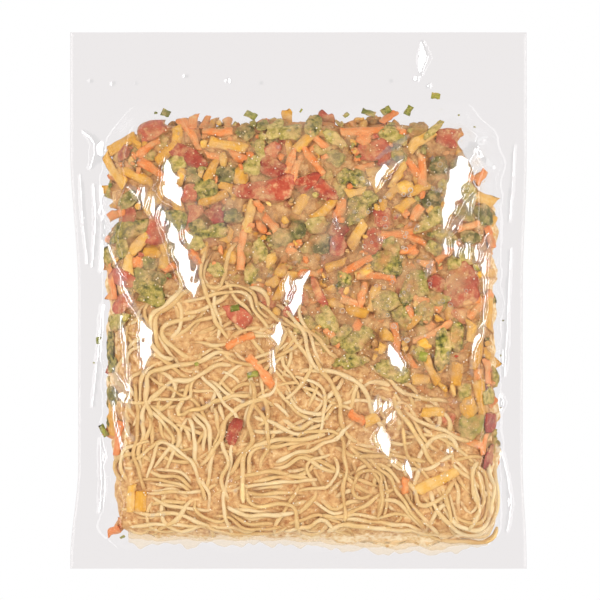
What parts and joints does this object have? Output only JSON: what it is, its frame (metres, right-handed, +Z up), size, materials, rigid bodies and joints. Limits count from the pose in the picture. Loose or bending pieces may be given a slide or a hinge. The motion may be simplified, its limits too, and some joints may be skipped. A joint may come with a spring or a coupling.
{
  "type": "sealed clear pouch of noodles and vegetables",
  "caption": "Clear heat-sealed film pouch packed tight with cooked noodles and chopped vegetables in sauce, lying flat on its back.",
  "frame": {"origin": "middle of the pouch's footprint, on the surface that it lies on", "axes": "+Z up out of the front face, +Y towards the pouch's head with its wide margin, +X to the right seen from the front"},
  "size_m": [0.183, 0.215, 0.017],
  "materials": {
    "pouch": "gloss",
    "film": "gloss",
    "sauce": "satin",
    "noodles": "satin",
    "orange_carrot": "satin",
    "yellow_carrot": "satin",
    "broccoli": "matte",
    "red_pepper": "satin",
    "leek": "satin"
  },
  "bodies": {
    "root": {"pouch": "pouch"}
  },
  "joints": []
}
